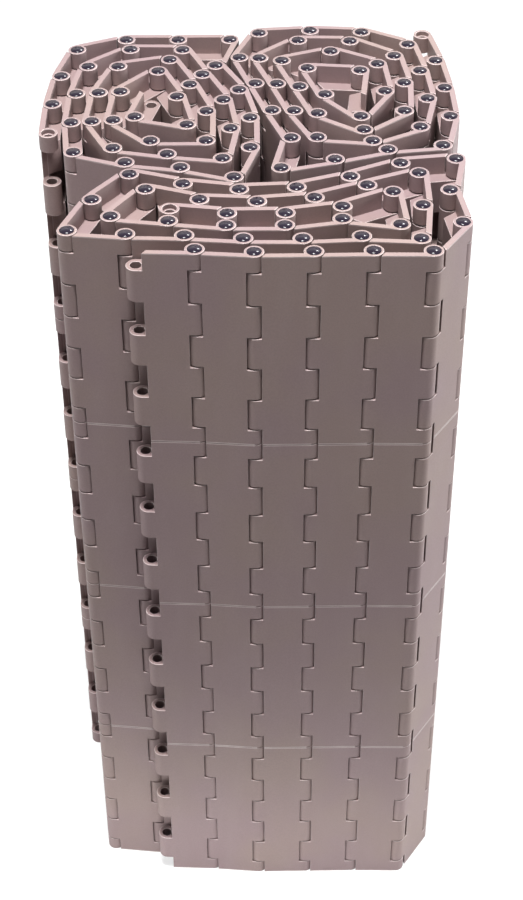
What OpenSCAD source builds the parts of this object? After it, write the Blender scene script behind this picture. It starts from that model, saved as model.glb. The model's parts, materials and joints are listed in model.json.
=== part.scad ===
// Slat top chain: three loose rolls of modular flat-top chain, each standing on its edge.
// A roll is one length of chain. Each row is four plastic modules edge to edge, and a rod
// through their knuckles hinges it to the next row. A domed plug closes each end of a rod.
// Millimetres and degrees. X runs to the right, Y to the rear, Z up; the rolls stand on z = 0.

/* [Chain] */
// Distance from one hinge axis to the next
pitch = 25.4; // [24:0.1:26.4]
// Thickness over the hinge barrels
thickness = 8.7; // [8.3:0.1:9]
// Thickness of the flat plate between the hinges
plate = 2.6; // [2.2:0.1:3]
// Width that one module takes up along the rod, its seam included
module_width = 105; // [60:1:160]
// Modules side by side in a row
modules_across = 4; // [1:1:5]
// Gap between two modules side by side
seam = 0.3; // [0.2:0.05:0.6]
// Full knuckles on the far edge of a module
knuckles = 3; // [2:1:4]
// Side play between the knuckles of two rows
side_play = 0.6; // [0.3:0.1:1]
// Gap around a barrel where the next plate closes over it
lip_gap = 0.5; // [0.4:0.05:0.8]
// Largest inward bend that the leaning ends of plates and ribs leave room for
largest_bend = 122; // [118:1:124]

/* [Hinge pins] */
// Diameter of the hinge rod
rod_d = 4.6; // [4.2:0.1:4.8]
// Play of the rod all round in its bore
rod_play = 0.2; // [0.1:0.05:0.25]
// Diameter of the end plug
plug_d = 6; // [5.6:0.1:6.2]
// Play of the plug all round in its counterbore
plug_play = 0.2; // [0.1:0.05:0.25]
// Depth of the counterbore at the chain's edge
counterbore_depth = 2.4; // [2:0.1:3]
// Height of the plug's dome over its rim
dome = 0.9; // [0.5:0.1:1.2]

/* [Lie of the rolls] */
// Gap kept between turns, and between rolls, that lie side by side
turn_gap = 0.35; // [0.3:0.05:0.5]
// First hinge of the left roll
left_start = [-92, 1];
// Rough direction of each row of the left roll, from its free outer end to its inner end
left_plan = [
    90, 85, 75, 20, 0, 0, -110, -65, -80, -85, -105, -200, -190, -200,
    -265, -270, -280, -320, -360, -430, -430, -440, -455, -550, -550,
    -605, -635, -650, -705, -785, -795, -805, -900, -945, -995,
    -1030, -1145, -1160, -1275, -1365];
// First hinge of the right roll
right_start = [84, 90];
// Rough direction of each row of the right roll
right_plan = [
    -80, -85, -85, -100, -175, -160, -165, -280, -250, -250, -250, -295, -355, -365, -385,
    -440, -445, -460, -515, -545, -610, -610, -610, -680, -720,
    -755, -805, -810, -860, -935, -970, -970, -1060, -1110, -1165,
    -1200, -1310, -1335, -1445, -1535];
// First hinge of the front roll
front_start = [-48, -90];
// Rough direction of each row of the front roll
front_plan = [
    0, -5, 0, 0, 0, 55, 100, 80, 190, 205, 200, 185, 170, 160, 230, 250,
    355, 355, 355, 360, 365, 355, 445, 450, 565, 560, 545, 535, 520, 595,
    710, 715, 720, 730, 710, 815, 925, 910, 900, 895];

/* [Hidden] */
$fn = 64;

radius = thickness / 2;
lip_radius = radius + lip_gap;
underside = radius - plate;
bore_d = rod_d + 2 * rod_play;
counterbore_d = plug_d + 2 * plug_play;
module_length = module_width - seam;
chain_width = modules_across * module_width - seam;

// Heights in a module where near and far knuckles take turns: fine where the hinge line is in
// sight, and plain, with one change halfway up, below the top module inside a coil
knuckle_pitch = module_length / knuckles;
fine = [for (k = [0 : 2 * knuckles - 1]) (2 * k + 1) * knuckle_pitch / 4];
plain = [module_length / 2];

wall_lean = largest_bend - 90;

// Turning sense of a roll seen from above, from its outer end to its inner end
clockwise = -1;
anticlockwise = 1;

// Free rows at the outer end of each roll, hinged one by one; the rest is its coil
left_free = 6;
right_free = 4;
front_free = 8;

// ---- Lie of the rolls. The plan is rough, so that turns overlap in it. They then press each
// other apart while every row keeps its length, until they lie side by side.

// Points one pitch apart, each row in its direction
function chain(start, directions) =
    [for (i = 0, p = start; i <= len(directions);
          p = p + (i < len(directions) ? pitch * [cos(directions[i]), sin(directions[i])] : [0, 0]),
          i = i + 1) p];

function total(v) = [for (x = v) 1] * v;

// The hinges of all rolls stand in one list, the same number for each roll
rows = len(left_plan);
function same_roll(i, j) = floor(i / (rows + 1)) == floor(j / (rows + 1));

// Where point p is nearest to the row from a to b, as a share of the row's length
function share(p, a, b) = max(0, min(1, (p - a) * (b - a) / ((b - a) * (b - a))));

// Pairs of a hinge and a row, not next to each other, that lie side by side
function pairs(p) =
    [for (i = [0 : len(p) - 1]) for (j = [0 : len(p) - 2])
        if (same_roll(j, j + 1) && (abs(i - j - 0.5) > 2 || !same_roll(i, j))
            && norm(p[i] - p[j]) < pitch + 2 * thickness
            && norm(p[i] - p[j] - share(p[i], p[j], p[j + 1]) * (p[j + 1] - p[j]))
               < 1.6 * thickness)
            [i, j]];

// Part that hinge i takes in each pair: as the hinge itself, or as the start or end of the row
function parts(i, pairs) =
    [for (k = [0 : len(pairs) - 1])
        let (part = pairs[k][0] == i ? "hinge" : pairs[k][1] == i ? "start"
                  : pairs[k][1] + 1 == i ? "end" : "none")
        if (part != "none") [k, part]];

// Push in a pair: the way the hinge has to move, where it presses on the row, and 1 if it does
function push(p, pair) =
    let (h = p[pair[0]], a = p[pair[1]], b = p[pair[1] + 1], t = share(h, a, b),
         away = h - a - t * (b - a), short = max(0, thickness + turn_gap - norm(away)))
    [short / 2 * away / norm(away), t, short > 0 ? 1 : 0];

// One hinge's share of a push, with the weight of that share
function shared(push, part) =
    let (t = push[1], w = part == "hinge" ? 1 : part == "start" ? 1 - t : t,
         v = part == "hinge" ? push[0] : -push[0] * w / (pow(1 - t, 2) + pow(t, 2)))
    [v[0], v[1], push[2] * w];

function pressed(p, pairs, parts) =
    let (pushes = [for (pair = pairs) push(p, pair)])
    [for (i = [0 : len(p) - 1])
        len(parts[i]) == 0 ? p[i]
        : let (s = total([for (part = parts[i]) shared(pushes[part[0]], part[1])]))
          p[i] + 1.4 * [s[0], s[1]] / max(1, s[2])];

// Every second row, from row `first`, set back to one pitch, half at each end
function drawn(p, first) =
    [for (i = [0 : len(p) - 1])
        let (j = i % 2 == first ? i + 1 : i - 1)
        j < 0 || j == len(p) || !same_roll(i, j) ? p[i]
        : p[i] + (p[j] - p[i]) * (1 - pitch / norm(p[j] - p[i])) / 2];

function settled(p, pairs, parts, rounds) =
    rounds == 0 ? p
    : settled(drawn(drawn(drawn(drawn(pressed(p, pairs, parts), 0), 1), 0), 1),
              pairs, parts, rounds - 1);

rough = concat(chain(left_start, left_plan), chain(right_start, right_plan),
               chain(front_start, front_plan));
touching = pairs(rough);
hinges = settled(rough, touching, [for (i = [0 : len(rough) - 1]) parts(i, touching)], 100);

// Roll number n: its hinge axes exactly one pitch apart, its rows' directions, its turning
// sense and the last hinge that is in sight from outside
function roll(n, sense, last_in_sight) =
    let (p = [for (i = [0 : rows]) hinges[n * (rows + 1) + i]],
         directions = [for (i = [0 : rows - 1])
             atan2(p[i + 1][1] - p[i][1], p[i + 1][0] - p[i][0])],
         exact = chain(p[0], directions), shift = total(p - exact) / len(p))
    [[for (q = exact) q + shift], directions, sense, last_in_sight];

left = roll(0, clockwise, 15);
right = roll(1, clockwise, 15);
front = roll(2, anticlockwise, 17);

// Middle of the three rolls in plan, which is put on the Z axis
function middle(axis) =
    let (v = [for (p = hinges) p[axis]]) (min(v) + max(v)) / 2;
centre = [middle(0), middle(1)];

// ---- Outlines of a module across its width: its near hinge at the origin, its far hinge at
// x = pitch, and its flat carrying face along y = radius

// Where the leaning end wall stands at height y, clear of the barrel next to it
function wall(y) = (lip_radius - y * sin(wall_lean)) / cos(wall_lean);

// Plate: the same over the whole width, with a lip at each end that closes over the barrels
module plate_outline() {
    polygon([[wall(radius), radius], [pitch - wall(radius), radius],
             [pitch - wall(underside), underside], [wall(underside), underside]]);
}

// Knuckle: a barrel on the near hinge, joined to the plate
module knuckle_outline(hole_d) {
    difference() {
        union() {
            circle(radius);
            translate([0, underside]) square([wall(underside), plate]);
        }
        circle(d = hole_d);
    }
}

// Ribbed knuckle: a barrel on the far hinge, carried by a rib as thick as the chain
module ribbed_knuckle_outline() {
    difference() {
        union() {
            polygon([[wall(radius), radius], [pitch, radius],
                     [pitch, -radius], [wall(-radius), -radius]]);
            translate([pitch, 0]) circle(radius);
        }
        translate([pitch, 0]) circle(d = bore_d);
    }
}

// ---- Pieces

// Near knuckle from height `from` to `to`, counterbored at the chain's lower or upper edge
module near_knuckle(from, to, lowest, highest) {
    low = lowest ? counterbore_depth : 0;
    high = highest ? counterbore_depth : 0;
    if (lowest) translate([0, 0, from]) linear_extrude(low) knuckle_outline(counterbore_d);
    translate([0, 0, from + low]) linear_extrude(to - from - low - high) knuckle_outline(bore_d);
    if (highest) translate([0, 0, to - high]) linear_extrude(high) knuckle_outline(counterbore_d);
}

module far_knuckle(from, to, ribbed) {
    translate([0, 0, from]) linear_extrude(to - from)
        if (ribbed) ribbed_knuckle_outline();
        else translate([pitch, 0]) mirror([1, 0]) knuckle_outline(bore_d);
}

// One moulded module, standing on its edge, with `near` and `far` the heights where the
// knuckles take turns at its two hinges
module chain_module(near, far, ribbed, lowest, highest) {
    play = side_play / 2;
    linear_extrude(module_length) plate_outline();
    for (i = [0 : 2 : len(near)])
        near_knuckle(i == 0 ? 0 : near[i - 1] + play,
                     i == len(near) ? module_length : near[i] - play,
                     lowest && i == 0, highest && i == len(near));
    for (i = [1 : 2 : len(far)])
        far_knuckle(far[i - 1] + play,
                    i == len(far) ? module_length : far[i] - play, ribbed);
}

// Row: the modules side by side, the top one always ribbed and with fine knuckles
module row(near, far, ribbed) {
    for (m = [0 : modules_across - 1])
        let (top = m == modules_across - 1)
            translate([0, 0, m * module_width])
                chain_module(top ? fine : near, top ? fine : far, top || ribbed, m == 0, top);
}

// Hinge rod, between the two plugs
module rod() {
    clear = counterbore_depth + rod_play;
    translate([0, 0, clear]) cylinder(d = rod_d, h = chain_width - 2 * clear);
}

// Domed plug at the lower end of a rod, its dome outwards and just inside the chain's edge
module plug() {
    sphere_r = (pow(plug_d / 2, 2) + pow(dome, 2)) / (2 * dome);
    height = counterbore_depth - 2 * plug_play;
    translate([0, 0, counterbore_depth - plug_play]) mirror([0, 0, 1])
        rotate_extrude() intersection() {
            square([plug_d / 2, height]);
            translate([0, height - sphere_r]) circle(sphere_r, $fn = 128);
        }
}

module plug_pair() {
    plug();
    translate([0, 0, chain_width]) mirror([0, 0, 1]) plug();
}

// ---- Places

// Puts row i of a roll in its place. The carrying face is outside on every roll.
module placed_row(roll, i, ribbed = false) {
    forwards = roll[2] == clockwise;
    near = forwards ? i : i + 1;
    far = forwards ? i + 1 : i;
    translate(roll[0][near] - centre) rotate(roll[1][i] + (forwards ? 0 : 180))
        row(near <= roll[3] ? fine : plain, far <= roll[3] ? fine : plain, ribbed);
}

module at_hinge(roll, i) {
    translate(roll[0][i] - centre) children();
}

module turn_of_rows(roll, first, last) {
    color("tan") for (i = [first : last]) placed_row(roll, i);
}

module free_row(roll, i) {
    color("tan") placed_row(roll, i - 1, ribbed = true);
}

module coil_rods(roll, first) {
    color("dimgray") for (i = [first : rows - 1]) at_hinge(roll, i) rod();
}

module coil_plugs(roll, first) {
    color("black") for (i = [first : rows - 1]) at_hinge(roll, i) plug_pair();
}

module pin(roll, i) {
    at_hinge(roll, i) {
        color("dimgray") rod();
        color("black") plug_pair();
    }
}

// ---- Nodes

module left_coil_outer_turn() turn_of_rows(left, left_free, 14);
module left_coil_middle_turn() turn_of_rows(left, 15, 25);
module left_coil_inner_turn() turn_of_rows(left, 26, rows - 1);
module left_coil_rods() coil_rods(left, left_free);
module left_coil_plugs() coil_plugs(left, left_free);
module left_row(i) free_row(left, i);
module left_pin(i) pin(left, i);

module right_coil_outer_turn() turn_of_rows(right, right_free, 13);
module right_coil_middle_turn() turn_of_rows(right, 14, 24);
module right_coil_inner_turn() turn_of_rows(right, 25, rows - 1);
module right_coil_rods() coil_rods(right, right_free);
module right_coil_plugs() coil_plugs(right, right_free);
module right_row(i) free_row(right, i);
module right_pin(i) pin(right, i);

module front_coil_outer_turn() turn_of_rows(front, front_free, 16);
module front_coil_middle_turn() turn_of_rows(front, 17, 27);
module front_coil_inner_turn() turn_of_rows(front, 28, rows - 1);
module front_coil_rods() coil_rods(front, front_free + 1);
module front_coil_plugs() coil_plugs(front, front_free + 1);
module front_row(i) free_row(front, i);
module front_pin(i) pin(front, i);

left_coil_outer_turn();
left_coil_middle_turn();
left_coil_inner_turn();
left_coil_rods();
left_coil_plugs();
left_row(1);  // left_row_1
left_row(2);  // left_row_2
left_row(3);  // left_row_3
left_row(4);  // left_row_4
left_row(5);  // left_row_5
left_row(6);  // left_row_6
left_pin(1);  // left_pin_1
left_pin(2);  // left_pin_2
left_pin(3);  // left_pin_3
left_pin(4);  // left_pin_4
left_pin(5);  // left_pin_5
right_coil_outer_turn();
right_coil_middle_turn();
right_coil_inner_turn();
right_coil_rods();
right_coil_plugs();
right_row(1);  // right_row_1
right_row(2);  // right_row_2
right_row(3);  // right_row_3
right_row(4);  // right_row_4
right_pin(1);  // right_pin_1
right_pin(2);  // right_pin_2
right_pin(3);  // right_pin_3
front_coil_outer_turn();
front_coil_middle_turn();
front_coil_inner_turn();
front_coil_rods();
front_coil_plugs();
front_row(1);  // front_row_1
front_row(2);  // front_row_2
front_row(3);  // front_row_3
front_row(4);  // front_row_4
front_row(5);  // front_row_5
front_row(6);  // front_row_6
front_row(7);  // front_row_7
front_row(8);  // front_row_8
front_pin(1);  // front_pin_1
front_pin(2);  // front_pin_2
front_pin(3);  // front_pin_3
front_pin(4);  // front_pin_4
front_pin(5);  // front_pin_5
front_pin(6);  // front_pin_6
front_pin(7);  // front_pin_7
front_pin(8);  // front_pin_8
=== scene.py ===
"""Looks of three loose rolls of slat top chain that stand on their edges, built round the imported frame.

Every place and size of the chain comes from the frame: the hinge axes from the rods' solids and the mounts, and
the modules' own shape from the modules of one free row. The modules are dressed once, with broken edges, and a
node tree then lays them along every roll. A second tree puts the plugs and pins in. The rods inside the coils
stay as they are packed and get their finish here. Metres, with the rolls standing on z = 0.
"""

import json
import logging
import math
from dataclasses import dataclass, field
from enum import Enum
from typing import ClassVar

import bmesh
import bpy
import numpy as np
from mathutils import Matrix, Vector

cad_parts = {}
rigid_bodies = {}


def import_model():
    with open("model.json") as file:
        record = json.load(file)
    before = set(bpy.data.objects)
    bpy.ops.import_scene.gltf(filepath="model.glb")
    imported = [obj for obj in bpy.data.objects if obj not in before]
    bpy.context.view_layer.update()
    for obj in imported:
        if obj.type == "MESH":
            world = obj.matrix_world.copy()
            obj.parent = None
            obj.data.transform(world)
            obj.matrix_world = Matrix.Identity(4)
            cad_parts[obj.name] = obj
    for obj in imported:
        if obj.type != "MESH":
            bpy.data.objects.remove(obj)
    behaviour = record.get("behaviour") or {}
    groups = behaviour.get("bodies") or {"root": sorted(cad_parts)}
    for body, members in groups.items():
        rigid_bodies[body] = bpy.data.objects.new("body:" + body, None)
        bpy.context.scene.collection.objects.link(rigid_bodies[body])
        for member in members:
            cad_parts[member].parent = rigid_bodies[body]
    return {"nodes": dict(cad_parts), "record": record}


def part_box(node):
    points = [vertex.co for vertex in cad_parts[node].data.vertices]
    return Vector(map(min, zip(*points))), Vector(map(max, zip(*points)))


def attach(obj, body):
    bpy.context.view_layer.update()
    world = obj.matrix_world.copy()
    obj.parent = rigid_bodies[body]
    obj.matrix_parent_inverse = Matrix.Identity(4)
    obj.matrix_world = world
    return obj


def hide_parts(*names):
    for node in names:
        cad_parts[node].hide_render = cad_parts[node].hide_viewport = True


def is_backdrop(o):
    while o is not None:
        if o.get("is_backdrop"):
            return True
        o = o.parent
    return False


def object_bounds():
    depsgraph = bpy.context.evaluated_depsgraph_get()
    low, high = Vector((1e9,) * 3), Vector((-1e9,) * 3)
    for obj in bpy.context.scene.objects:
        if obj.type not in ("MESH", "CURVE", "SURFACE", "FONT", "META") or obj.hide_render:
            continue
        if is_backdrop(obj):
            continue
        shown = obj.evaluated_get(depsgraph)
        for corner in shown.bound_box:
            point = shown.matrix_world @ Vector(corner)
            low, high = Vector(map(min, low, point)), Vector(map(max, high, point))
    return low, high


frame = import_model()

LOG = logging.getLogger("slat_top_chain")
IMAGE_HEIGHT = 900
MILLIMETRE = 0.001
MERGE = MILLIMETRE / 1000
Colour = tuple[float, float, float]
Point = tuple[float, float, float]
EVEN: Point = (1.0, 1.0, 1.0)
WHITE: Colour = (1.0, 1.0, 1.0)


# ---- Shader maths

class Wire:
    """A shader socket that can be used in a Python expression.

    Args:
        nodes: Adds the nodes that an expression needs.
        socket: The output socket that the wire starts from.
    """

    def __init__(self, nodes: "NodeMaker", socket: bpy.types.NodeSocket) -> None:
        self.nodes = nodes
        self.socket = socket

    def _maths(self, operation: str, *values: "Wire | float") -> "Wire":
        """Adds one Math node and returns its result."""
        return self.nodes.add("ShaderNodeMath", {"operation": operation}, dict(enumerate(values)))

    def __add__(self, other: "Wire | float") -> "Wire":
        """This plus the other."""
        return self._maths("ADD", self, other)

    def __radd__(self, other: float) -> "Wire":
        """The other plus this."""
        return self._maths("ADD", other, self)

    def __sub__(self, other: "Wire | float") -> "Wire":
        """This minus the other."""
        return self._maths("SUBTRACT", self, other)

    def __rsub__(self, other: float) -> "Wire":
        """The other minus this."""
        return self._maths("SUBTRACT", other, self)

    def __mul__(self, other: "Wire | float") -> "Wire":
        """This times the other."""
        return self._maths("MULTIPLY", self, other)

    def __rmul__(self, other: float) -> "Wire":
        """The other times this."""
        return self._maths("MULTIPLY", other, self)

    def or_more(self, other: "Wire") -> "Wire":
        """The larger of this and the other."""
        return self._maths("MAXIMUM", self, other)

    def above(self, limit: float) -> "Wire":
        """1 where this is above the limit, and 0 elsewhere."""
        return self._maths("GREATER_THAN", self, limit)

    def ramp(self, low: float, high: float) -> "Wire":
        """Rises smoothly from 0 at low to 1 at high.

        Args:
            low: Value at which the result leaves 0.
            high: Value at which the result reaches 1.

        Returns:
            The smoothed share from 0 to 1.
        """
        return self.nodes.add("ShaderNodeMapRange", {"interpolation_type": "SMOOTHSTEP"},
                              {"Value": self, "From Min": low, "From Max": high})


class NodeMaker:
    """Adds nodes to one node tree.

    Args:
        tree: The tree, whose nodes are cleared first.
    """

    def __init__(self, tree: bpy.types.NodeTree) -> None:
        self.tree = tree
        self.tree.nodes.clear()

    @classmethod
    def for_material(cls, name: str) -> "tuple[bpy.types.Material, NodeMaker]":
        """Makes a material and a maker for its nodes.

        Args:
            name: The material's name.

        Returns:
            The material, and the maker that fills its tree.
        """
        material = bpy.data.materials.new(name)
        material.use_nodes = True
        return material, cls(material.node_tree)

    def add(self, kind: str, settings: dict | None = None, inputs: dict | None = None,
            output: str | int = 0) -> "Wire | None":
        """Adds a node, sets it up and links it.

        Args:
            kind: The node's type.
            settings: Values of the node's own properties, which are set first.
            inputs: A value or a wire for each socket, by its name or number.
            output: The output socket to return.

        Returns:
            The chosen output as a wire, or None for a node that ends the tree.
        """
        node = self.tree.nodes.new(kind)
        for name, value in (settings or {}).items():
            setattr(node, name, value)
        for name, value in (inputs or {}).items():
            if isinstance(value, Wire):
                self.tree.links.new(value.socket, node.inputs[name])
            else:
                node.inputs[name].default_value = value
        return Wire(self, node.outputs[output]) if len(node.outputs) else None

    def attribute(self, name: str) -> "Wire":
        """Reads a number that the piece's own mesh carries, in a material."""
        return self.add("ShaderNodeAttribute", {"attribute_name": name}, output="Fac")

    def shown(self) -> "Wire":
        """Tells rays that show the background apart from rays that light things.

        Returns:
            1 for a ray from the camera, in gloss or through glass, and 0 for any other.
        """
        path = self.tree.nodes.new("ShaderNodeLightPath")
        camera, gloss, glass = (Wire(self, path.outputs[f"Is {ray} Ray"])
                                for ray in ("Camera", "Glossy", "Transmission"))
        return camera.or_more(gloss).or_more(glass)

    def mix_colour(self, share: "Wire | float", first: "Wire | Colour", second: "Wire | Colour") -> "Wire":
        """Mixes two colours.

        Args:
            share: How much of the second colour shows, from 0 to 1.
            first: Colour where the share is 0.
            second: Colour where the share is 1.

        Returns:
            The mixed colour.
        """
        def value(colour: "Wire | Colour") -> "Wire | tuple":
            """The colour as a socket takes it."""
            return colour if isinstance(colour, Wire) else (*colour, 1.0)
        return self.add("ShaderNodeMix", {"data_type": "RGBA"},
                        {0: share, 6: value(first), 7: value(second)}, output=2)

    def noise(self, scale: float, detail: float, stretch: Point = EVEN) -> Wire:
        """Noise in the object's own coordinates.

        Args:
            scale: Spots in a metre.
            detail: Finer layers on top of the first.
            stretch: How much finer the pattern is along each axis.

        Returns:
            The noise value, about 0.5 on average.
        """
        place = self.add("ShaderNodeTexCoord", output="Object")
        if stretch != EVEN:
            place = self.add("ShaderNodeMapping", inputs={"Vector": place, "Scale": stretch})
        return self.add("ShaderNodeTexNoise", inputs={"Vector": place, "Scale": scale, "Detail": detail})

    def finish(self, **sockets: "Wire | float") -> None:
        """Ends the material in a Principled shader.

        Args:
            sockets: A value or a wire for each of its sockets, by its name with underscores for blanks.
        """
        shader = self.add("ShaderNodeBsdfPrincipled",
                          inputs={name.replace("_", " "): value for name, value in sockets.items()})
        self.add("ShaderNodeOutputMaterial", inputs={"Surface": shader})


# ---- Finishes

@dataclass(frozen=True)
class Pattern:
    """Noise of one size, and the range of it that is spread out to a share from 0 to 1.

    Args:
        scale: Spots in a metre.
        low: Noise value at which the share leaves 0.
        high: Noise value at which the share reaches 1.
        detail: Finer layers on top of the first.
        stretch: How much finer the pattern is along each axis.
    """

    scale: float
    low: float
    high: float
    detail: float = 3.0
    stretch: Point = EVEN

    def noise(self, nodes: NodeMaker) -> Wire:
        """The noise itself."""
        return nodes.noise(self.scale, self.detail, self.stretch)

    def share(self, nodes: NodeMaker) -> Wire:
        """The noise, spread out to a share from 0 to 1."""
        return self.noise(nodes).ramp(self.low, self.high)


@dataclass(frozen=True)
class MouldedPlastic:
    """Satin low-friction plastic as it comes out of the mould, with a pale painted highlight along its broken
    edges and along the strips where modules meet side by side.

    Args:
        body: Its own colour, a purplish grey.
        olive: Colour of the wide patches.
        dull: Colour of the upright streaks.
        dark: Colour of the specks, and the shade that sets one module off from the next.
        edge: Pale colour of the broken edges and end strips, a painted highlight.
        patches: Where the olive patches are.
        streaks: Where the dull streaks are.
        grain: The fine grain, which gives the specks, the gloss and the bumps.
        patch_share: How much the patches show.
        streak_share: How much the streaks show.
        module_share: How much darker the darkest module is.
        speck_share: How much the specks show.
        edge_highlight_share: How much the edge colour shows at least.
        edge_highlight_streaks: How much more of it shows in the streaks.
        roughness: Roughness where the grain is lowest.
        grain_roughness: How much rougher it is where the grain is highest.
        edge_polish: How much smoother the edges are.
        grain_height: Height of the grain.
        grain_strength: How much the grain bends the light.
        ior: Index of refraction, which sets how strong the gloss is.
    """

    body: Colour = (0.290, 0.204, 0.210)
    olive: Colour = (0.306, 0.222, 0.202)
    dull: Colour = (0.40, 0.32, 0.305)
    dark: Colour = (0.205, 0.150, 0.144)
    # Pale colour of the painted highlight on broken edges and end strips.
    edge: Colour = (0.62, 0.515, 0.505)
    patches: Pattern = Pattern(17.0, 0.36, 0.66)
    streaks: Pattern = Pattern(90.0, 0.4, 0.75, detail=4.0, stretch=(1.0, 1.0, 0.25))
    grain: Pattern = Pattern(1400.0, 0.38, 0.62)
    patch_share: float = 0.85
    streak_share: float = 0.10
    module_share: float = 0.10
    speck_share: float = 0.16
    edge_highlight_share: float = 0.62
    edge_highlight_streaks: float = 0.33
    roughness: float = 0.46
    grain_roughness: float = 0.12
    edge_polish: float = 0.08
    grain_height: float = 0.03 * MILLIMETRE
    grain_strength: float = 0.6
    ior: float = 1.35

    def material(self) -> bpy.types.Material:
        """Builds the material.

        Returns:
            The material.
        """
        made, nodes = NodeMaker.for_material("moulded_taupe")
        streak = self.streaks.share(nodes)
        grain = self.grain.noise(nodes)
        speck = grain.ramp(self.grain.low, self.grain.high)
        # The edge attribute marks broken edges and end strips, where the pale colour is mixed in as a painted
        # highlight.
        painted_edge_highlight = nodes.attribute("edge")
        colour = nodes.mix_colour(self.patch_share * self.patches.share(nodes), self.body, self.olive)
        colour = nodes.mix_colour(self.streak_share * streak, colour, self.dull)
        darker = self.module_share * nodes.attribute("shade") + self.speck_share * speck
        colour = nodes.mix_colour(darker, colour, self.dark)
        colour = nodes.mix_colour(painted_edge_highlight * (self.edge_highlight_share + self.edge_highlight_streaks * streak), colour, self.edge)
        roughness = self.roughness + self.grain_roughness * grain - self.edge_polish * painted_edge_highlight
        bump = nodes.add("ShaderNodeBump", inputs={"Strength": self.grain_strength,
                                                   "Distance": self.grain_height, "Height": grain})
        nodes.finish(Base_Color=colour, Roughness=roughness, IOR=self.ior, Normal=bump)
        return made


@dataclass(frozen=True)
class HingePinFinish:
    """Near-black glossy plugs at both ends of a satin rod, told apart by their height on the chain.

    Args:
        plug: Colour of the plugs.
        rod: Colour of the rod.
        plug_length: How far the plugs reach in from the chain's edges.
        rod_roughness: Roughness of the rod.
        plug_roughness: Roughness of the plugs.
        smears: The fine smears on both.
        smear_roughness: How much rougher the smears are.
        pin_roughness: How much rougher the dullest pin is than the glossiest.
        ior: Index of refraction, which sets how strong the gloss is.
    """

    plug: Colour = (0.014, 0.009, 0.019)
    rod: Colour = (0.19, 0.18, 0.18)
    plug_length: float = 2.4 * MILLIMETRE
    rod_roughness: float = 0.30
    plug_roughness: float = 0.08
    smears: Pattern = Pattern(700.0, 0.0, 1.0)
    smear_roughness: float = 0.08
    pin_roughness: float = 0.06
    ior: float = 1.30

    def material(self, chain_width: float) -> bpy.types.Material:
        """Builds the material.

        Args:
            chain_width: Width of the chain, at whose two edges the plugs sit.

        Returns:
            The material.
        """
        made, nodes = NodeMaker.for_material("hinge_pin")
        place = nodes.add("ShaderNodeTexCoord", output="Object")
        height = nodes.add("ShaderNodeSeparateXYZ", inputs={0: place}, output="Z")
        from_middle = nodes.add("ShaderNodeMath", {"operation": "ABSOLUTE"}, {0: height - chain_width / 2})
        plug = from_middle.above(chain_width / 2 - self.plug_length)
        roughness = self.rod_roughness - (self.rod_roughness - self.plug_roughness) * plug
        roughness = roughness + self.smear_roughness * self.smears.noise(nodes)
        roughness = roughness + self.pin_roughness * nodes.attribute("shade")
        colour = nodes.mix_colour(plug, self.rod, self.plug)
        nodes.finish(Base_Color=colour, Roughness=roughness, IOR=self.ior)
        return made


class Finish(Enum):
    """The record's material slots, by name."""

    PLASTIC = "taupe_acetal"
    PIN = "dark_pin"


# ---- The chain's layout, read from the frame

@dataclass
class Roll:
    """One length of chain: its hinge axes in order, from the free outer end to the inner end.

    Args:
        name: The roll's name, which its nodes' names start with.
        forwards: Whether a module's near hinge is the one nearer the free end.
        turns: First row of the coil's outer, middle and inner turn; the rows before them are free.
        in_sight: Number of rows that can be seen from outside, over their whole height.
    """

    BORE_REACH: ClassVar[float] = 3.0 * MILLIMETRE
    TIP_DEPTH: ClassVar[float] = 0.2 * MILLIMETRE

    name: str
    forwards: bool
    turns: tuple[int, int, int]
    in_sight: int
    hinges: list[Vector] = field(default_factory=list)

    def read(self) -> None:
        """Reads the hinge axes from the rods' solids and the mount at the free end."""
        mounts = {m["name"]: m for m in frame["record"]["mounts"]}
        start = mounts[f"{self.name}_free_end_bore"]["pos_m"]
        self.hinges = [Vector((start[0], start[1]))]
        number = 1
        while f"{self.name}_pin_{number}" in frame["nodes"]:
            low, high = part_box(f"{self.name}_pin_{number}")
            self.hinges.append(((low + high) / 2).xy)
            number += 1
        for island in islands(frame["nodes"][f"{self.name}_coil_rods"]):
            self.hinges.append(Vector((island.min(0) + island.max(0)) / 2).xy)
        self.hinges.append(self._inner_end())

    def _inner_end(self) -> Vector:
        """Finds the last hinge axis, which has no rod, from the last row's modules.

        They are the ones with a bore round the last rod and none round the rod before it. The axis lies one
        pitch from the last rod, towards their farthest points.

        Returns:
            The axis in plan.
        """
        last, before = self.hinges[-1], self.hinges[-2]
        pitch = (last - before).length
        for island in islands(frame["nodes"][f"{self.name}_coil_inner_turn"]):
            from_last = np.linalg.norm(island[:, :2] - np.array(last), axis=1)
            from_before = np.linalg.norm(island[:, :2] - np.array(before), axis=1)
            if from_last.min() < self.BORE_REACH < from_before.min():
                tip = island[from_last > from_last.max() - self.TIP_DEPTH][:, :2].mean(0)
                return last + (Vector(tip) - last).normalized() * pitch
        raise RuntimeError(f"{self.name}: the last row was not found")

    def pieces(self) -> dict[str, tuple[str, range]]:
        """Lists the nodes that hold modules.

        Returns:
            For each node, the body that it rides on and its rows.
        """
        outer, middle, inner = self.turns
        coil = f"{self.name}_coil"
        found = {f"{self.name}_row_{row + 1}": (f"{self.name}_row_{row + 1}", range(row, row + 1))
                 for row in range(outer)}
        found[f"{coil}_outer_turn"] = (coil, range(outer, middle))
        found[f"{coil}_middle_turn"] = (coil, range(middle, inner))
        found[f"{coil}_inner_turn"] = (coil, range(inner, len(self.hinges) - 1))
        return found

    def row_place(self, row: int) -> tuple[Vector, float]:
        """Where the modules of a row go.

        Args:
            row: Number of the row, from 0 at the free end.

        Returns:
            The axis of the modules' near hinge in plan, and their turn about Z.
        """
        first, second = self.hinges[row], self.hinges[row + 1]
        near, far = (first, second) if self.forwards else (second, first)
        along = far - near
        return near, math.atan2(along.y, along.x)


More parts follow.
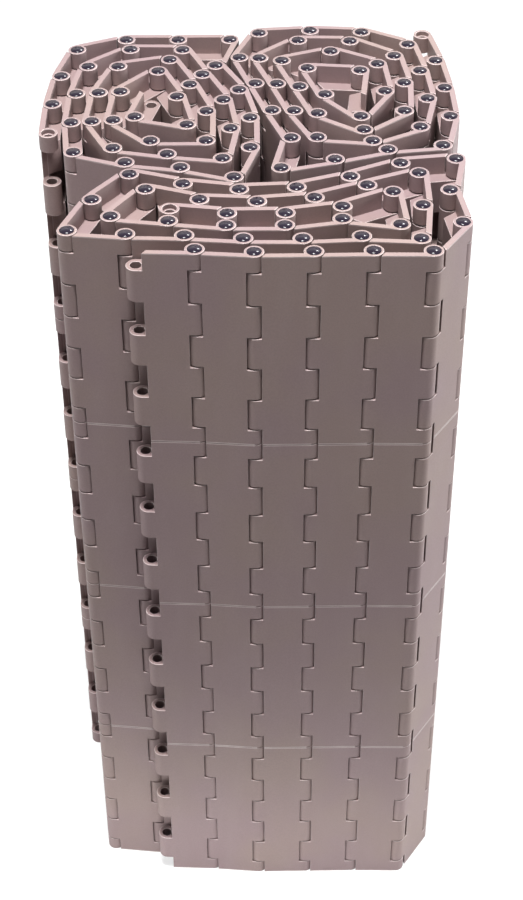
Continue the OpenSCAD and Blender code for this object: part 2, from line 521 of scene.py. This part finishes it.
def islands(node: bpy.types.Object) -> list[np.ndarray]:
    """Splits a node's loose triangles into its solids.

    Args:
        node: A node of the frame, which is left as it is.

    Returns:
        The points of each solid, in the order of the mesh.
    """
    mesh = bmesh.new()
    mesh.from_mesh(node.data)
    bmesh.ops.remove_doubles(mesh, verts=mesh.verts, dist=MERGE)
    mesh.verts.ensure_lookup_table()
    seen: set[bmesh.types.BMVert] = set()
    found = []
    for start in mesh.verts:
        if start in seen:
            continue
        seen.add(start)
        waiting, points = [start], []
        while waiting:
            here = waiting.pop()
            points.append(tuple(here.co))
            for edge in here.link_edges:
                other = edge.other_vert(here)
                if other not in seen:
                    seen.add(other)
                    waiting.append(other)
        found.append(np.array(points))
    mesh.free()
    return found


# ---- Modules

class Level(Enum):
    """Where a module sits over the chain's width; the plain ones are out of sight and keep sharp edges."""

    LOWEST_PLAIN = 0
    MIDDLE_PLAIN = 1
    LOWEST = 2
    MIDDLE = 3
    TOP = 4

    @property
    def broken(self) -> bool:
        """Whether the module's edges are broken."""
        return self.value >= Level.LOWEST.value

    def number(self, across: int) -> int:
        """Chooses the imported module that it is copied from.

        Args:
            across: Number of modules side by side.

        Returns:
            The module's number, from 0 at the chain's lower edge.
        """
        if self is Level.TOP:
            return across - 1
        return int(self in (Level.MIDDLE_PLAIN, Level.MIDDLE))


@dataclass
class ModuleSet:
    """The modules of one packed row, put at the origin: the near hinge on Z and the flat face to +Y.

    Args:
        row: Node that holds one row, whose modules are copied.
        near: Axis of that row's near hinge in plan.
        turn: Turn of that row about Z.
        across: Number of modules side by side.
        width: Width that a module takes up, its seam included.
        broken: Width of the small flat along a broken edge.
        ends: Width of the strip of the flat face where two modules meet side by side, which gets the pale colour
            of a painted highlight.
        smooth: Angle between two faces up to which they are shaded as one round surface.
        straight: Angle between two faces up to which they are merged.
    """

    FLAT: ClassVar[float] = 0.9999

    row: bpy.types.Object
    near: Vector
    turn: float
    across: int
    width: float
    broken: float = 0.22 * MILLIMETRE
    ends: float = 0.55 * MILLIMETRE
    smooth: float = math.radians(34.0)
    straight: float = math.radians(0.5)

    def build(self) -> bpy.types.Collection:
        """Makes one object for each level.

        Returns:
            A collection of them alone, whose names sort them in the order of the levels.
        """
        found = bpy.data.collections.new("modules")
        for level in Level:
            mesh = self._module(level.number(self.across), level.broken)
            found.objects.link(bpy.data.objects.new(f"module_{level.value}", mesh))
            LOG.info("%s: %d faces", level.name, len(mesh.polygons))
        return found

    def _module(self, number: int, broken: bool) -> bpy.types.Mesh:
        """Copies one module out of the row.

        Args:
            number: Which module, from 0 at the chain's lower edge.
            broken: Whether its sharp outer edges are broken.

        Returns:
            The module's mesh, with the attribute "edge", 1 on its broken edges and end strips, which get a
            painted highlight.
        """
        work = self._cut_out(number)
        edge = work.faces.layers.float.new("edge")
        if broken:
            made = bmesh.ops.bevel(work, geom=[e for e in work.edges if self._breaks(e)], offset=self.broken,
                                   offset_type="OFFSET", segments=1, profile=0.5, affect="EDGES",
                                   clamp_overlap=False)
            # The bevel faces get the pale colour of a painted highlight.
            for face in made["faces"]:
                face[edge] = 1.0
            self._mark_end_highlights(work, edge)
        self._shade(work)
        bmesh.ops.triangulate(work, faces=[f for f in work.faces if len(f.verts) > 4])
        mesh = bpy.data.meshes.new(f"module_{number}")
        work.to_mesh(mesh)
        work.free()
        return mesh

    def _cut_out(self, number: int) -> bmesh.types.BMesh:
        """Takes one module out of a copy of the row and puts it at the origin.

        Args:
            number: Which module, from 0 at the chain's lower edge.

        Returns:
            The module, with each flat face in one piece.
        """
        work = bmesh.new()
        work.from_mesh(self.row.data)
        bmesh.ops.remove_doubles(work, verts=work.verts, dist=MERGE)
        low, high = number * self.width, (number + 1) * self.width
        others = [v for v in work.verts if not low - MILLIMETRE / 10 < v.co.z < high]
        bmesh.ops.delete(work, geom=others, context="VERTS")
        local = Matrix.Rotation(-self.turn, 4, "Z") @ Matrix.Translation((-self.near.x, -self.near.y, -low))
        bmesh.ops.transform(work, matrix=local, verts=work.verts)
        bmesh.ops.dissolve_limit(work, angle_limit=self.straight, verts=work.verts, edges=work.edges)
        return work

    def _shade(self, work: bmesh.types.BMesh) -> None:
        """Shades round faces as round, and keeps the flat faces' borders and the real edges sharp.

        Args:
            work: The module.
        """
        for face in work.faces:
            face.smooth = True
        for seam in work.edges:
            flat = any(abs(f.normal.y) > self.FLAT for f in seam.link_faces)
            seam.smooth = not flat and seam.is_manifold and seam.calc_face_angle() < self.smooth

    def _breaks(self, border: bmesh.types.BMEdge) -> bool:
        """Chooses the edges that are broken: sharp outer ones, but not where the flat face meets a module's end.

        Args:
            border: An edge of the module.

        Returns:
            Whether it is broken.
        """
        if not border.is_manifold or not border.is_convex or border.calc_face_angle() < self.smooth:
            return False
        ahead, along = (max(getattr(f.normal, axis) ** 2 for f in border.link_faces) for axis in "yz")
        at_end = not MILLIMETRE < border.verts[0].co.z < self.width - MILLIMETRE
        return not (at_end and min(ahead, along) > self.FLAT and border.verts[0].co.y > 0)

    def _mark_end_highlights(self, work: bmesh.types.BMesh, edge: bmesh.types.BMLayerItem) -> None:
        """Marks a narrow strip of the flat face along both ends, where modules meet side by side, for a painted
        highlight that shows the seam as a light line.

        Args:
            work: The module.
            edge: The layer in which the strips get 1.
        """
        heights = [v.co.z for v in work.verts]
        low, high = min(heights), max(heights)
        for level in (low + self.ends, high - self.ends):
            bmesh.ops.bisect_plane(work, geom=[*work.verts, *work.edges, *work.faces], dist=MERGE,
                                   plane_co=(0.0, 0.0, level), plane_no=(0.0, 0.0, 1.0))
        for face in work.faces:
            level = face.calc_center_bounds().z
            if face.normal.y > self.FLAT and not low + self.ends < level < high - self.ends:
                face[edge] = 1.0


class Repeater:
    """A node tree that lays copies on points, and the values that it is given.

    NAME is the tree's name, INPUTS gives the kind of socket of each input, and SPARE names the attributes that
    the tree adds for its own use.

    Args:
        values: The value of each of the tree's inputs, by its name with underscores for blanks.
    """

    NAME: ClassVar[str] = ""
    INPUTS: ClassVar[dict[str, str]] = {}
    SPARE: ClassVar[tuple[str, ...]] = ()

    def __init__(self, **values: object) -> None:
        self.values = {name.replace("_", " ").capitalize(): value for name, value in values.items()}
        self.tree = bpy.data.node_groups.new(self.NAME, "GeometryNodeTree")
        self.tree.interface.new_socket("Points", in_out="INPUT", socket_type="NodeSocketGeometry")
        for name, kind in self.INPUTS.items():
            self.tree.interface.new_socket(name, in_out="INPUT", socket_type=kind)
        self.tree.interface.new_socket("Geometry", in_out="OUTPUT", socket_type="NodeSocketGeometry")
        self._wire_up()

    def _wire_up(self) -> None:
        """Fills the tree: the copies, a chance number on each, and one mesh of them with its finish."""
        nodes = NodeMaker(self.tree)
        given = self.tree.nodes.new("NodeGroupInput")
        wires = {name: Wire(nodes, given.outputs[name]) for name in ("Points", *self.INPUTS)}
        laid = self.copies(nodes, wires)
        shade = nodes.add("FunctionNodeRandomValue", {"data_type": "FLOAT"}, {"Seed": wires["Seed"]}, output=1)
        laid = nodes.add("GeometryNodeStoreNamedAttribute", {"data_type": "FLOAT", "domain": "INSTANCE"},
                         {"Geometry": laid, "Name": "shade", "Value": shade})
        real = nodes.add("GeometryNodeRealizeInstances", inputs={"Geometry": laid})
        real = nodes.add("GeometryNodeSetMaterial", inputs={"Geometry": real, "Material": wires["Finish"]})
        nodes.add("NodeGroupOutput", inputs={"Geometry": real})

    def copies(self, nodes: "NodeMaker", given: dict[str, Wire]) -> Wire:
        """Wires the part of the tree that puts the copies on the points.

        Args:
            nodes: Makes the nodes.
            given: The tree's inputs by name.

        Returns:
            The copies, as instances.
        """
        raise NotImplementedError

    def lay(self, name: str, points: list[Vector], **per_point: list) -> bpy.types.Object:
        """Runs the tree and keeps its result as one plain mesh.

        Args:
            name: Name of the finished piece.
            points: The points in plan.
            per_point: A list of numbers for each attribute of the points.

        Returns:
            The piece, at the origin.
        """
        piece = bpy.data.objects.new(name, self._starting_points(name, points, per_point))
        bpy.context.scene.collection.objects.link(piece)
        modifier = piece.modifiers.new(self.NAME, "NODES")
        modifier.node_group = self.tree
        for item in self.tree.interface.items_tree:
            if item.in_out == "INPUT" and item.name in self.values:
                modifier[item.identifier] = self.values[item.name]
        shown = piece.evaluated_get(bpy.context.evaluated_depsgraph_get())
        mesh = bpy.data.meshes.new_from_object(shown)
        piece.modifiers.clear()
        start, piece.data = piece.data, mesh
        bpy.data.meshes.remove(start)
        for spare in (*self.SPARE, *per_point):
            if spare in mesh.attributes:
                mesh.attributes.remove(mesh.attributes[spare])
        mesh.name = name
        LOG.info("%s: %d triangles", name, sum(len(p.vertices) - 2 for p in mesh.polygons))
        return piece

    @staticmethod
    def _starting_points(name: str, points: list[Vector], per_point: dict[str, list]) -> bpy.types.Mesh:
        """Makes a mesh of the points alone.

        Args:
            name: The mesh's name.
            points: The points in plan.
            per_point: A list of numbers for each attribute of the points.

        Returns:
            The mesh, with those attributes.
        """
        mesh = bpy.data.meshes.new(name)
        mesh.from_pydata([(p.x, p.y, 0.0) for p in points], [], [])
        for key, numbers in per_point.items():
            kind = "FLOAT" if isinstance(numbers[0], float) else "INT"
            mesh.attributes.new(key, kind, "POINT").data.foreach_set("value", numbers)
        return mesh


class ModuleRows(Repeater):
    """Lays modules side by side along rows; a point is a row, with its turn and whether it is in sight."""

    NAME = "rows_of_modules"
    INPUTS = {"Modules": "NodeSocketCollection", "Across": "NodeSocketInt",
              "Module width": "NodeSocketFloat", "Finish": "NodeSocketMaterial", "Seed": "NodeSocketInt"}
    SPARE = ("level",)

    def copies(self, nodes: "NodeMaker", given: dict[str, Wire]) -> Wire:
        """Wires a point for each module, then a module on each point.

        Args:
            nodes: Makes the nodes.
            given: The tree's inputs by name.

        Returns:
            The modules, as instances.
        """
        across = given["Across"]
        step = nodes.add("ShaderNodeCombineXYZ", inputs={"Z": given["Module width"]})
        line = nodes.add("GeometryNodeMeshLine", {"mode": "OFFSET"}, {"Count": across, "Offset": step})
        number = nodes.add("GeometryNodeInputIndex")
        line = nodes.add("GeometryNodeStoreNamedAttribute", {"data_type": "INT", "domain": "POINT"},
                         {"Geometry": line, "Name": "level", "Value": number})
        lines = nodes.add("GeometryNodeInstanceOnPoints", inputs={"Points": given["Points"], "Instance": line})
        places = nodes.add("GeometryNodeRealizeInstances", inputs={"Geometry": lines})
        level, broken, turn = (
            nodes.add("GeometryNodeInputNamedAttribute", {"data_type": kind}, {"Name": name})
            for name, kind in (("level", "INT"), ("broken", "INT"), ("turn", "FLOAT")))
        top = level.above(across - 1.5)
        kind = (level.above(0.5) + Level.LOWEST.value * broken) * (1 - top) + Level.TOP.value * top
        parts = nodes.add("GeometryNodeCollectionInfo",
                          inputs={"Collection": given["Modules"], "Separate Children": True,
                                  "Reset Children": True})
        turned = nodes.add("ShaderNodeCombineXYZ", inputs={"Z": turn})
        return nodes.add("GeometryNodeInstanceOnPoints",
                         inputs={"Points": places, "Instance": parts, "Pick Instance": True,
                                 "Instance Index": kind, "Rotation": turned})


class PinsAtHinges(Repeater):
    """Puts a pin, or its two plugs, on every hinge; a point is a hinge."""

    NAME = "pins_at_hinges"
    INPUTS = {"Pin": "NodeSocketObject", "Finish": "NodeSocketMaterial", "Seed": "NodeSocketInt"}

    def copies(self, nodes: "NodeMaker", given: dict[str, Wire]) -> Wire:
        """Wires a pin on each point, turned by chance as pins are when they are pushed in.

        Args:
            nodes: Makes the nodes.
            given: The tree's inputs by name.

        Returns:
            The pins, as instances.
        """
        pin = nodes.add("GeometryNodeObjectInfo", inputs={"Object": given["Pin"], "As Instance": True},
                        output="Geometry")
        turn = nodes.add("FunctionNodeRandomValue", {"data_type": "FLOAT"},
                         {2: 0.0, 3: math.tau, "Seed": given["Seed"]}, output=1)
        turned = nodes.add("ShaderNodeCombineXYZ", inputs={"Z": turn})
        return nodes.add("GeometryNodeInstanceOnPoints",
                         inputs={"Points": given["Points"], "Instance": pin, "Rotation": turned})


# ---- Hinge pins

@dataclass(frozen=True)
class PinShape:
    """A pin: a plug at each end, with a low wide head flush with the chain's edge, and a rod between them.

    Args:
        head: Radius of a plug's head.
        sunk: How far the head's middle and its rim lie below the chain's edge.
        lip: How far below the edge the head's underside begins.
        neck: Radius of the plug under its head, and how far down the neck begins.
        depth: How deep the plug sits.
        rod: Radius of the rod.
        sides: Sides of the round shapes.
        smooth: Angle between two faces up to which they are shaded as one round surface.
    """

    head: float = 3.34 * MILLIMETRE
    sunk: tuple[float, float] = (0.02 * MILLIMETRE, 0.05 * MILLIMETRE)
    lip: float = 0.08 * MILLIMETRE
    neck: tuple[float, float] = (3.12 * MILLIMETRE, 0.40 * MILLIMETRE)
    depth: float = 2.2 * MILLIMETRE
    rod: float = 2.3 * MILLIMETRE
    sides: int = 20
    smooth: float = math.radians(100.0)

    def template(self, width: float, with_rod: bool) -> bpy.types.Object:
        """Makes one pin on the Z axis.

        Args:
            width: Width of the chain.
            with_rod: Whether the rod belongs to it.

        Returns:
            An object that isn't in the scene.
        """
        work = bmesh.new()
        middle, rim = self.sunk
        profile = [(self.head, rim), (self.head, self.lip), self.neck, (self.neck[0], self.depth)]
        for edge, inward in ((0.0, 1.0), (width, -1.0)):
            rings = [self._ring(work, radius, edge + inward * z) for radius, z in profile]
            tip = work.verts.new((0.0, 0.0, edge + inward * middle))
            for a, b in zip(rings[0], self._next(rings[0])):
                work.faces.new((tip, a, b))
            self._skin(work, rings)
            work.faces.new(rings[-1])
        if with_rod:
            self._skin(work, [self._ring(work, self.rod, z) for z in (self.depth, width - self.depth)])
        bmesh.ops.recalc_face_normals(work, faces=work.faces)
        mesh = bpy.data.meshes.new("pin")
        work.to_mesh(mesh)
        work.free()
        mesh.shade_smooth()
        mesh.set_sharp_from_angle(angle=self.smooth)
        return bpy.data.objects.new("pin", mesh)

    def _ring(self, work: bmesh.types.BMesh, radius: float, z: float) -> list[bmesh.types.BMVert]:
        """Adds a ring of points round the Z axis."""
        turns = (math.tau * k / self.sides for k in range(self.sides))
        return [work.verts.new((radius * math.cos(t), radius * math.sin(t), z)) for t in turns]

    @staticmethod
    def _next(ring: list[bmesh.types.BMVert]) -> list[bmesh.types.BMVert]:
        """The same ring, one point further."""
        return ring[1:] + ring[:1]

    def _skin(self, work: bmesh.types.BMesh, rings: list[list[bmesh.types.BMVert]]) -> None:
        """Joins rings by faces.

        Args:
            work: The mesh that they are in.
            rings: The rings in order, each with the same number of points.
        """
        for low, high in zip(rings, rings[1:]):
            for a, b, c, d in zip(low, self._next(low), self._next(high), high):
                work.faces.new((a, b, c, d))


# ---- Camera, light and ground

@dataclass(frozen=True)
class Viewpoint:
    """The camera.

    Args:
        place: Where it stands.
        down: How far it looks down, in degrees.
        left: How far it looks to the left of +Y, in degrees.
        roll: How far it is turned round its line of sight, in degrees.
        focal: Its focal length in heights of the rendered frame.
    """

    place: Point = (0.0076, -0.7896, 0.9130)
    down: float = 41.0
    left: float = 0.234
    roll: float = -0.312
    focal: float = 2005.4 / IMAGE_HEIGHT

    def add(self) -> None:
        """Adds the camera and makes it the scene's."""
        down, left, roll = (math.radians(a) for a in (self.down, self.left, self.roll))
        ahead = Vector((-math.sin(left) * math.cos(down), math.cos(left) * math.cos(down), -math.sin(down)))
        right = Vector((math.cos(left), math.sin(left), 0.0))
        up = right.cross(ahead)
        turned = math.cos(roll) * right + math.sin(roll) * up
        upright = math.cos(roll) * up - math.sin(roll) * right
        data = bpy.data.cameras.new("camera")
        data.sensor_fit = "VERTICAL"
        data.lens = self.focal * data.sensor_height
        camera = bpy.data.objects.new("camera", data)
        axes = Matrix((turned, upright, -ahead)).transposed().to_4x4()
        camera.matrix_world = Matrix.Translation(self.place) @ axes
        bpy.context.scene.collection.objects.link(camera)
        bpy.context.scene.camera = camera


class Glow(Enum):
    """What a lamp shows as on the object."""

    BOTH = "light and glints"
    SOFT = "light without a glint"
    GLINT = "glints in gloss alone"


@dataclass(frozen=True)
class Lamp:
    """A soft lamp, as a panel of its own width and depth.

    Args:
        name: The lamp's name.
        place: Where it hangs.
        aim: The point that it looks at.
        size: Its width and depth.
        watts: Its power.
        glow: What it shows as.
        tint: Colour of its light.
        spread: How widely it throws its light, in degrees.
    """

    name: str
    place: Point
    aim: Point
    size: tuple[float, float]
    watts: float
    glow: Glow = Glow.BOTH
    tint: Colour = WHITE
    spread: float = 180.0

    def add(self) -> None:
        """Adds the lamp, which lights the scene but isn't seen itself."""
        data = bpy.data.lights.new(self.name, "AREA")
        data.shape = "RECTANGLE"
        data.size, data.size_y = self.size
        data.energy = self.watts
        data.color = self.tint
        data.spread = math.radians(self.spread)
        lamp = bpy.data.objects.new(self.name, data)
        lamp.location = self.place
        lamp.rotation_euler = (Vector(self.aim) - Vector(self.place)).to_track_quat("-Z", "Y").to_euler()
        lamp.visible_camera = False
        lamp.visible_diffuse = self.glow is not Glow.GLINT
        lamp.visible_glossy = self.glow is not Glow.SOFT
        bpy.context.scene.collection.objects.link(lamp)


@dataclass(frozen=True)
class Studio:
    """White floor, white surroundings and soft lamps.

    Args:
        lamps: The lamps.
        ambient: Strength of the even light from all round.
        floor_half: Half the floor's width.
        floor_grey: How much light the floor throws back.
        floor_near: Strength of the white that the floor shows near the rolls.
        floor_fade: Distances between which that strength rises to 1.
    """

    COOL: ClassVar[Colour] = (0.93, 1.0, 1.0)

    lamps: tuple[Lamp, ...] = (
        Lamp("lamp_above", (-0.05, -0.24, 1.85), (0.0, -0.05, 0.42), (0.50, 0.36), 46.0),
        Lamp("lamp_behind", (0.91, 1.70, 1.47), (0.0, 0.1, 0.42), (0.50, 0.50), 34.0, Glow.GLINT),
        Lamp("lamp_right", (1.50, 0.30, 0.75), (0.0, 0.0, 0.25), (0.90, 0.70), 31.0, Glow.SOFT, COOL),
        Lamp("lamp_left", (-1.60, 0.10, 0.75), (0.0, 0.0, 0.25), (0.90, 0.90), 10.5, Glow.SOFT, COOL),
        Lamp("lamp_low", (-0.05, -0.205, 0.012), (-0.03, -0.09, 0.012), (0.46, 0.06), 0.23, Glow.SOFT, COOL,
             spread=130.0),
    )
    ambient: float = 0.12
    floor_half: float = 6.0
    floor_grey: float = 0.40
    floor_near: float = 0.62
    floor_fade: tuple[float, float] = (0.7, 2.2)

    def add(self) -> None:
        """Adds all of it."""
        self._world()
        self._floor()
        for lamp in self.lamps:
            lamp.add()

    def _world(self) -> None:
        """Lights evenly and dimly, and looks white to the camera, in gloss and through glass."""
        world = bpy.data.worlds.new("surroundings")
        bpy.context.scene.world = world
        world.use_nodes = True
        nodes = NodeMaker(world.node_tree)
        strength = self.ambient + (1 - self.ambient) * nodes.shown()
        surroundings = nodes.add("ShaderNodeBackground", inputs={"Color": (*WHITE, 1.0), "Strength": strength})
        nodes.add("ShaderNodeOutputWorld", inputs={"Surface": surroundings})

    def _floor(self) -> None:
        """A white floor that keeps the rolls' shadow."""
        mesh = bpy.data.meshes.new("floor")
        half = self.floor_half
        mesh.from_pydata([(-half, -half, 0), (half, -half, 0), (half, half, 0), (-half, half, 0)],
                         [], [(0, 1, 2, 3)])
        floor = bpy.data.objects.new("floor", mesh)
        bpy.context.scene.collection.objects.link(floor)
        material, nodes = NodeMaker.for_material("white_floor")
        place = nodes.add("ShaderNodeTexCoord", output="Object")
        away = nodes.add("ShaderNodeVectorMath", {"operation": "LENGTH"}, {0: place}, output="Value")
        glow = nodes.shown() * (self.floor_near + (1 - self.floor_near) * away.ramp(*self.floor_fade))
        white = nodes.add("ShaderNodeEmission", inputs={"Strength": glow})
        matt = nodes.add("ShaderNodeBsdfDiffuse", inputs={"Color": (*[self.floor_grey] * 3, 1.0)})
        both = nodes.add("ShaderNodeAddShader", inputs={0: white, 1: matt})
        nodes.add("ShaderNodeOutputMaterial", inputs={"Surface": both})
        mesh.materials.append(material)
        floor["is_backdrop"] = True


# ---- Building

@dataclass
class Chain:
    """The three rolls and what they are dressed with.

    Args:
        left: The roll behind on the left.
        right: The roll behind on the right.
        front: The roll in front.
        across: Number of modules side by side in a row.
        pattern: The node of one free row, whose modules are copied. It is the front roll's first row.
        module_seed: Seed of the modules' shades.
        pin_seed: Seed of the pins' turns and shades.
    """

    left: Roll = field(default_factory=lambda: Roll("left", True, (6, 15, 26), 15))
    right: Roll = field(default_factory=lambda: Roll("right", True, (4, 14, 25), 15))
    front: Roll = field(default_factory=lambda: Roll("front", False, (8, 17, 28), 17))
    across: int = 4
    pattern: str = "front_row_1"
    module_seed: int = 40
    pin_seed: int = 7

    def __post_init__(self) -> None:
        """Takes the chain's width from the frame and makes the finishes."""
        self.rolls = (self.left, self.right, self.front)
        self.width = float(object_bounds()[1][2])
        self.plastic = MouldedPlastic().material()
        self.pin = HingePinFinish().material(self.width)

    def build(self) -> None:
        """Reads the layout and dresses every piece."""
        for roll in self.rolls:
            roll.read()
            gaps = [(b - a).length for a, b in zip(roll.hinges, roll.hinges[1:])]
            LOG.info("%s roll: %d rows, pitch %.5f to %.5f", roll.name, len(gaps), min(gaps), max(gaps))
        self._finish_nodes()
        self._lay_modules()
        self._close_pins()

    def _finish_nodes(self) -> None:
        """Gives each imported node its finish."""
        for name, node in frame["nodes"].items():
            pins = "_pin_" in name or name.endswith(("_rods", "_plugs"))
            node.data.materials.clear()
            node.data.materials.append(self.pin if pins else self.plastic)

    def _close_pins(self) -> None:
        """Puts the pins in, with one piece for each node that they stand for."""
        plugs, pin = (PinShape().template(self.width, with_rod) for with_rod in (False, True))
        plugs_layer, pin_layer = (PinsAtHinges(pin=shape, finish=self.pin, seed=self.pin_seed)
                                  for shape in (plugs, pin))
        for roll in self.rolls:
            coil = f"{roll.name}_coil"
            first = next(n for n in range(1, len(roll.hinges)) if f"{roll.name}_pin_{n}" not in frame["nodes"])
            piece = plugs_layer.lay(f"{coil}_plugs_domed", roll.hinges[first:-1])
            self._show(piece, Finish.PIN, coil, f"{coil}_plugs")
            for number in range(1, first):
                node = f"{roll.name}_pin_{number}"
                row = number + 1 if roll.forwards else number
                piece = pin_layer.lay(f"{node}_domed", roll.hinges[number:number + 1])
                self._show(piece, Finish.PIN, f"{roll.name}_row_{row}", node)
        for shape in (plugs, pin):
            bpy.data.objects.remove(shape)

    def _lay_modules(self) -> None:
        """Lays the modules of every row, with one piece for each node that it stands for."""
        packed_row = frame["nodes"][self.pattern]
        bottoms = sorted({round(float(solid[:, 2].min()), 6) for solid in islands(packed_row)})
        step = bottoms[1] - bottoms[0]
        modules = ModuleSet(packed_row, *self.front.row_place(0), self.across, step).build()
        layer = ModuleRows(modules=modules, across=self.across, module_width=step, finish=self.plastic,
                           seed=self.module_seed)
        for roll in self.rolls:
            for node, (body, rows) in roll.pieces().items():
                places = [roll.row_place(row) for row in rows]
                piece = layer.lay(f"{node}_modules", [near for near, _ in places],
                                  turn=[float(turn) for _, turn in places],
                                  broken=[int(row < roll.in_sight) for row in rows])
                self._show(piece, Finish.PLASTIC, body, node)
        for part in list(modules.objects):
            bpy.data.objects.remove(part)
        bpy.data.collections.remove(modules)

    @staticmethod
    def _show(piece: bpy.types.Object, finish: Finish, body: str, node: str) -> None:
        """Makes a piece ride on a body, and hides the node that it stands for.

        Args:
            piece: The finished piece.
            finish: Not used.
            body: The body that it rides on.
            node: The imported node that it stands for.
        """
        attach(piece, body)
        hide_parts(node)


def main() -> None:
    """Builds the scene round the frame."""
    logging.basicConfig(level=logging.INFO, format="%(name)s: %(message)s")
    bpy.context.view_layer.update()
    bpy.context.scene.view_settings.view_transform = "Standard"
    Viewpoint().add()
    Studio().add()
    Chain().build()


if __name__ == "__main__":
    main()
